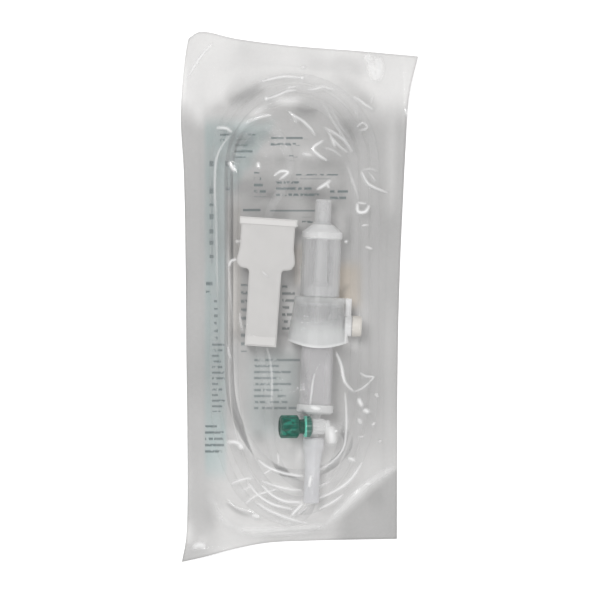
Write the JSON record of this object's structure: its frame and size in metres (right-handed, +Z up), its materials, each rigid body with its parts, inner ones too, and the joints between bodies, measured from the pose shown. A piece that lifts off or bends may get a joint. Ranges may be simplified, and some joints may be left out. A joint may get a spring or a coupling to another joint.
{
  "type": "iv infusion set",
  "caption": "Gravity infusion set sealed in a clear-fronted pouch: capped vented spike, drip chamber, roller clamp, capped connector and coiled tubing.",
  "frame": {"origin": "bottom centre of the whole pouch, on the back web's outer face", "axes": "+Z up through the clear film, away from the back web; +Y towards the header end, where the spike cap points; +X to the right as read from the clear side"},
  "size_m": [0.1066, 0.2384, 0.0267],
  "materials": {
    "printed_web": "matt white web with a grey-green printed tint",
    "clear_film": "clear, glossy, wrinkled",
    "frosted_plastic": "translucent white, satin",
    "white_plastic": "white, satin",
    "cream_plastic": "cream, satin",
    "clear_plastic": "clear, glossy",
    "clear_tube": "clear soft plastic, glossy",
    "filter_membrane": "white, matt",
    "green_plastic": "dark green, satin"
  },
  "bodies": {
    "pack": {"back_web": "printed_web", "front_film": "clear_film", "spike_cap": "frosted_plastic", "vented_spike": "frosted_plastic", "vent_filter": "filter_membrane", "vent_cap": "cream_plastic", "drip_tube": "white_plastic", "drip_chamber": "clear_plastic", "fluid_filter": "filter_membrane", "chamber_base": "clear_plastic", "outlet_sleeve": "frosted_plastic", "tubing": "clear_tube", "clamp_housing": "white_plastic", "cone_connector": "clear_plastic", "locking_collar": "green_plastic", "end_cap": "green_plastic"},
    "roller": {"roller_wheel": "white_plastic"}
  },
  "joints": [
    {"name": "roller_slide", "type": "slide", "parent": "pack", "child": "roller", "axis": [-0.0663, -0.9978, 0], "range_m": [0, 0.03]}
  ]
}
